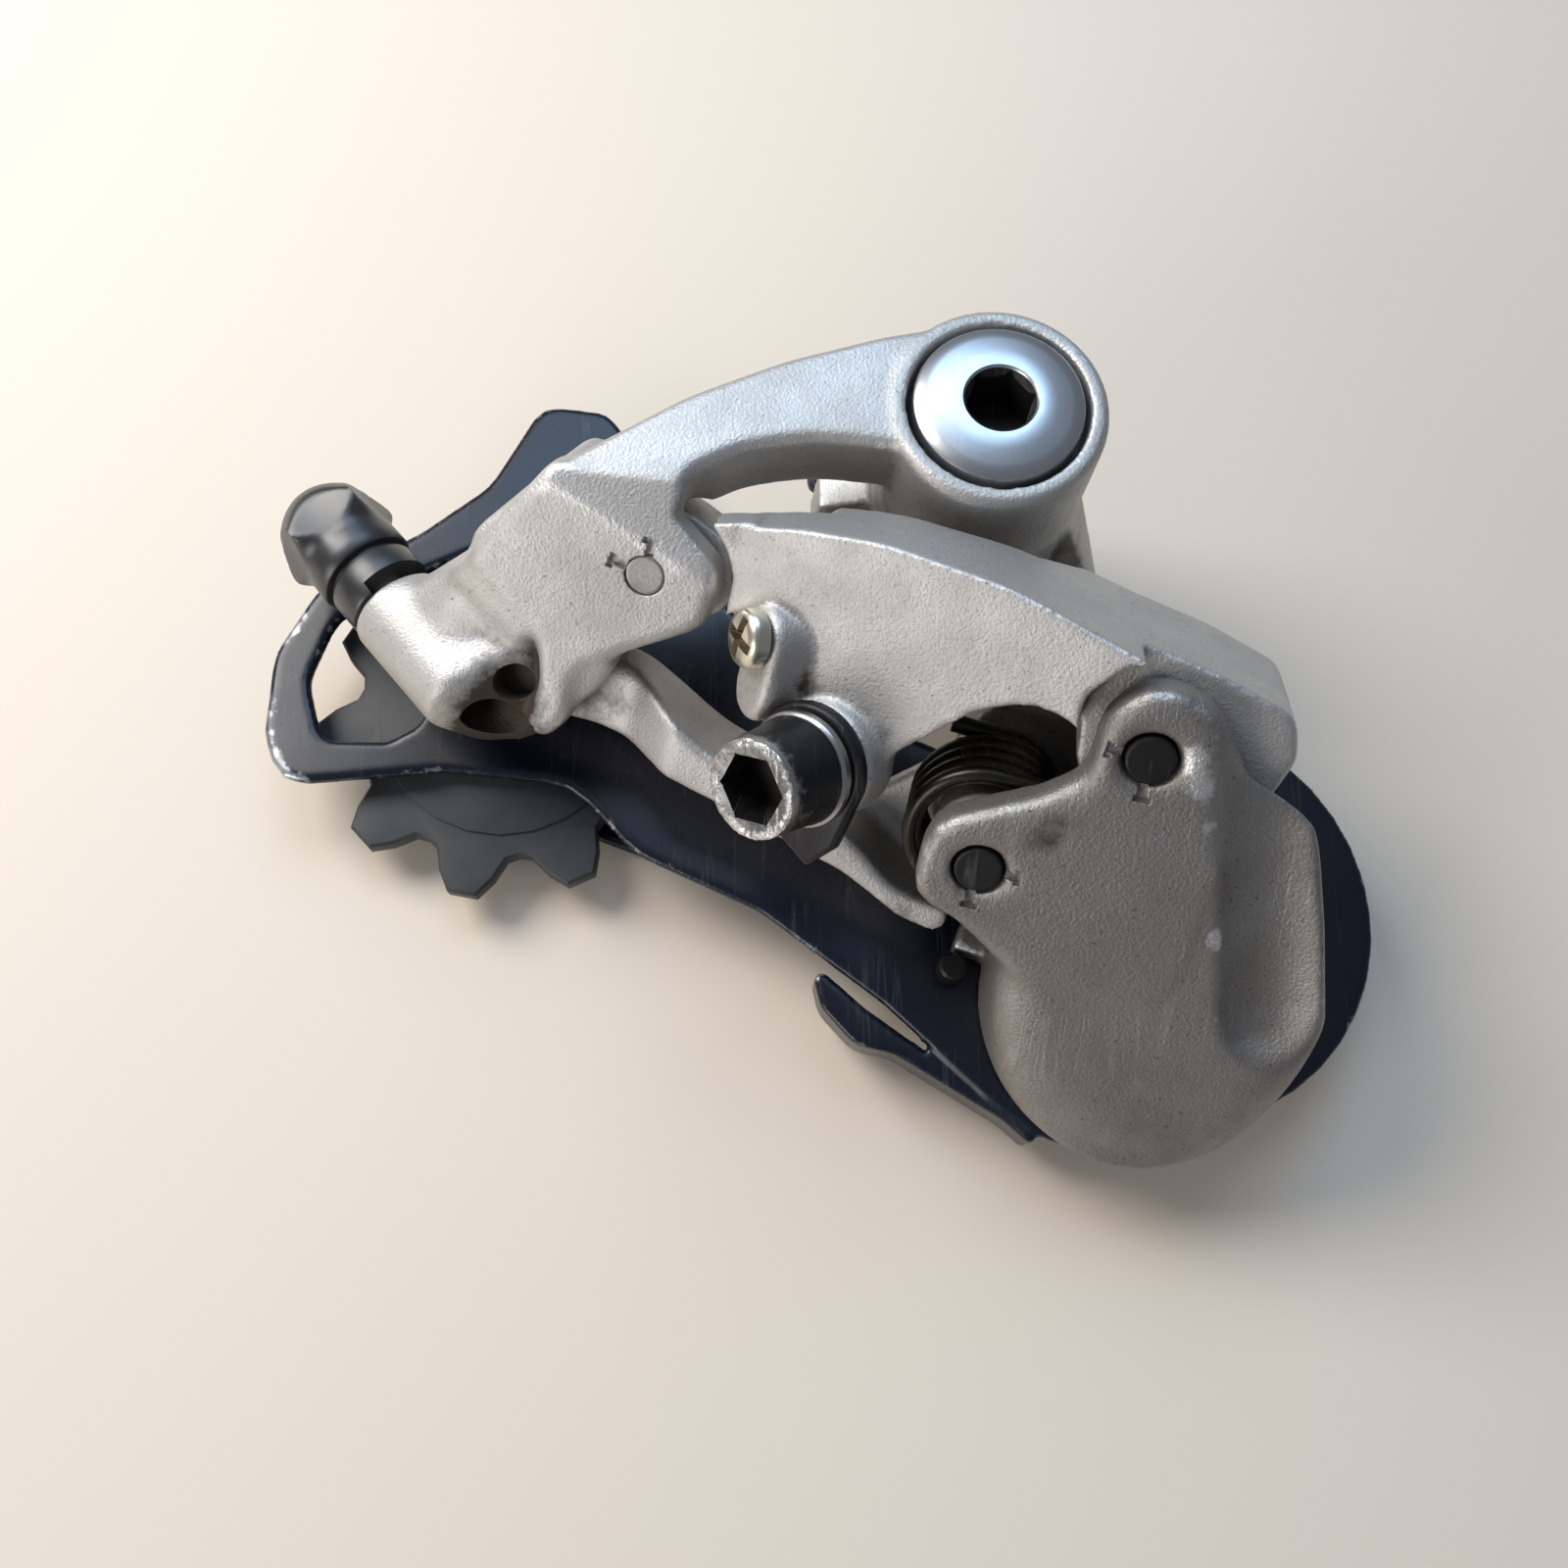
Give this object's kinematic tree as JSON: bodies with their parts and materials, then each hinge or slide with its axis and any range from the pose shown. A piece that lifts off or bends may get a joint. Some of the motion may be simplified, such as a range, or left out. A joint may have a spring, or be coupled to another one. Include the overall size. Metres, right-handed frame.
{
  "type": "rear bicycle derailleur",
  "caption": "Rear derailleur: slanted parallelogram of cast links between a bracket knuckle and a pivot knuckle, with a sprung pulley cage, barrel adjuster and cable clamp.",
  "frame": {"origin": "centre of the inboard tip of the mounting bolt, on the plane that the part lies on", "axes": "+Z outboard along the mounting bolt, +X towards the front of the bicycle, +Y up the wheel"},
  "size_m": [0.1225, 0.0896, 0.0493],
  "materials": {
    "cast_alloy": "satin bead-blasted casting with scuffs and grime",
    "bolt_steel": "polished and scratched",
    "dark_steel": "black oxide, worn on the edges",
    "pin_steel": "staked pin heads, oxidised",
    "zinc_screw": "yellow zinc plate",
    "spring_steel": "drawn wire, oily",
    "cage_paint": "satin dark navy paint, worn to metal on the edges",
    "adjuster_plastic": "moulded, slightly glossy",
    "pulley_plastic": "moulded, dusty",
    "seal_rubber": "matte",
    "bush_bronze": "oiled"
  },
  "bodies": {
    "mount": {"mounting_bolt": "bolt_steel", "hanger_stop_plate": "dark_steel", "retaining_ring": "dark_steel"},
    "bracket": {"axle_bushing": "bush_bronze", "bracket_knuckle": "cast_alloy", "rear_outer_pin": "pin_steel", "rear_inner_pin": "pin_steel", "tension_screw": "zinc_screw"},
    "adjuster": {"barrel_adjuster": "adjuster_plastic", "adjuster_stem": "bolt_steel"},
    "outer_arm": {"outer_link": "cast_alloy", "cable_clamp_plate": "dark_steel", "cable_bolt": "dark_steel", "limit_screw_high": "zinc_screw", "limit_screw_low": "zinc_screw"},
    "inner_arm": {"inner_link": "cast_alloy"},
    "knuckle": {"pivot_knuckle": "cast_alloy", "front_outer_pin": "pin_steel", "front_inner_pin": "pin_steel", "link_spring": "spring_steel", "pivot_seal": "seal_rubber"},
    "cage": {"cage_outer_plate": "cage_paint", "cage_inner_plate": "cage_paint", "pivot_axle": "bolt_steel", "cage_stop_pin": "dark_steel", "guide_bolt": "bolt_steel", "tension_bolt": "bolt_steel", "guide_bushing": "bush_bronze", "tension_bushing": "bush_bronze", "guide_cap_outer": "bolt_steel", "guide_cap_inner": "bolt_steel", "tension_cap_outer": "bolt_steel", "tension_cap_inner": "bolt_steel"},
    "guide_wheel": {"guide_pulley": "pulley_plastic"},
    "tension_wheel": {"tension_pulley": "pulley_plastic"}
  },
  "joints": [
    {"name": "bracket_swing", "type": "hinge", "parent": "mount", "child": "bracket", "pos_m": [0, 0, 0.0144], "axis": [0, 0, 1], "range_deg": [0, 30], "stiffness_Nm_per_rad": 0.3, "springref_deg": -34.38},
    {"name": "adjuster_turn", "type": "hinge", "parent": "bracket", "child": "adjuster", "pos_m": [-0.05314, -0.02257, 0.02111], "axis": [-0.6547, 0.7544, -0.0467], "continuous": true},
    {"name": "outer_link_swing", "type": "hinge", "parent": "bracket", "child": "outer_arm", "pos_m": [-0.03324, -0.01272, 0.03278], "axis": [-0.1996, -0.6783, 0.7071], "range_deg": [-45, 0], "stiffness_Nm_per_rad": 0.5, "springref_deg": 40.11},
    {"name": "inner_link_swing", "type": "hinge", "parent": "bracket", "child": "inner_arm", "pos_m": [-0.04728, -0.02002, 0.02182], "axis": [-0.1996, -0.6783, 0.7071], "range_deg": [-45, 0]},
    {"name": "knuckle_swing", "type": "hinge", "parent": "outer_arm", "child": "knuckle", "pos_m": [0.01263, -0.03359, 0.03985], "axis": [-0.1996, -0.6783, 0.7071], "range_deg": [0, 45]},
    {"name": "cage_swing", "type": "hinge", "parent": "knuckle", "child": "cage", "pos_m": [0.01637, -0.05389, 0.0104], "axis": [0, 0, 1], "range_deg": [0, 110], "stiffness_Nm_per_rad": 0.2, "springref_deg": -68.75},
    {"name": "guide_spin", "type": "hinge", "parent": "cage", "child": "guide_wheel", "pos_m": [0.02157, -0.04299, 0.0052], "axis": [0, 0, 1], "continuous": true},
    {"name": "tension_spin", "type": "hinge", "parent": "cage", "child": "tension_wheel", "pos_m": [-0.05174, -0.01945, 0.0052], "axis": [0, 0, 1], "continuous": true}
  ],
  "couplings": [
    {"joint": "inner_link_swing", "follows": "outer_link_swing", "ratio": 1},
    {"joint": "knuckle_swing", "follows": "outer_link_swing", "ratio": -1}
  ]
}
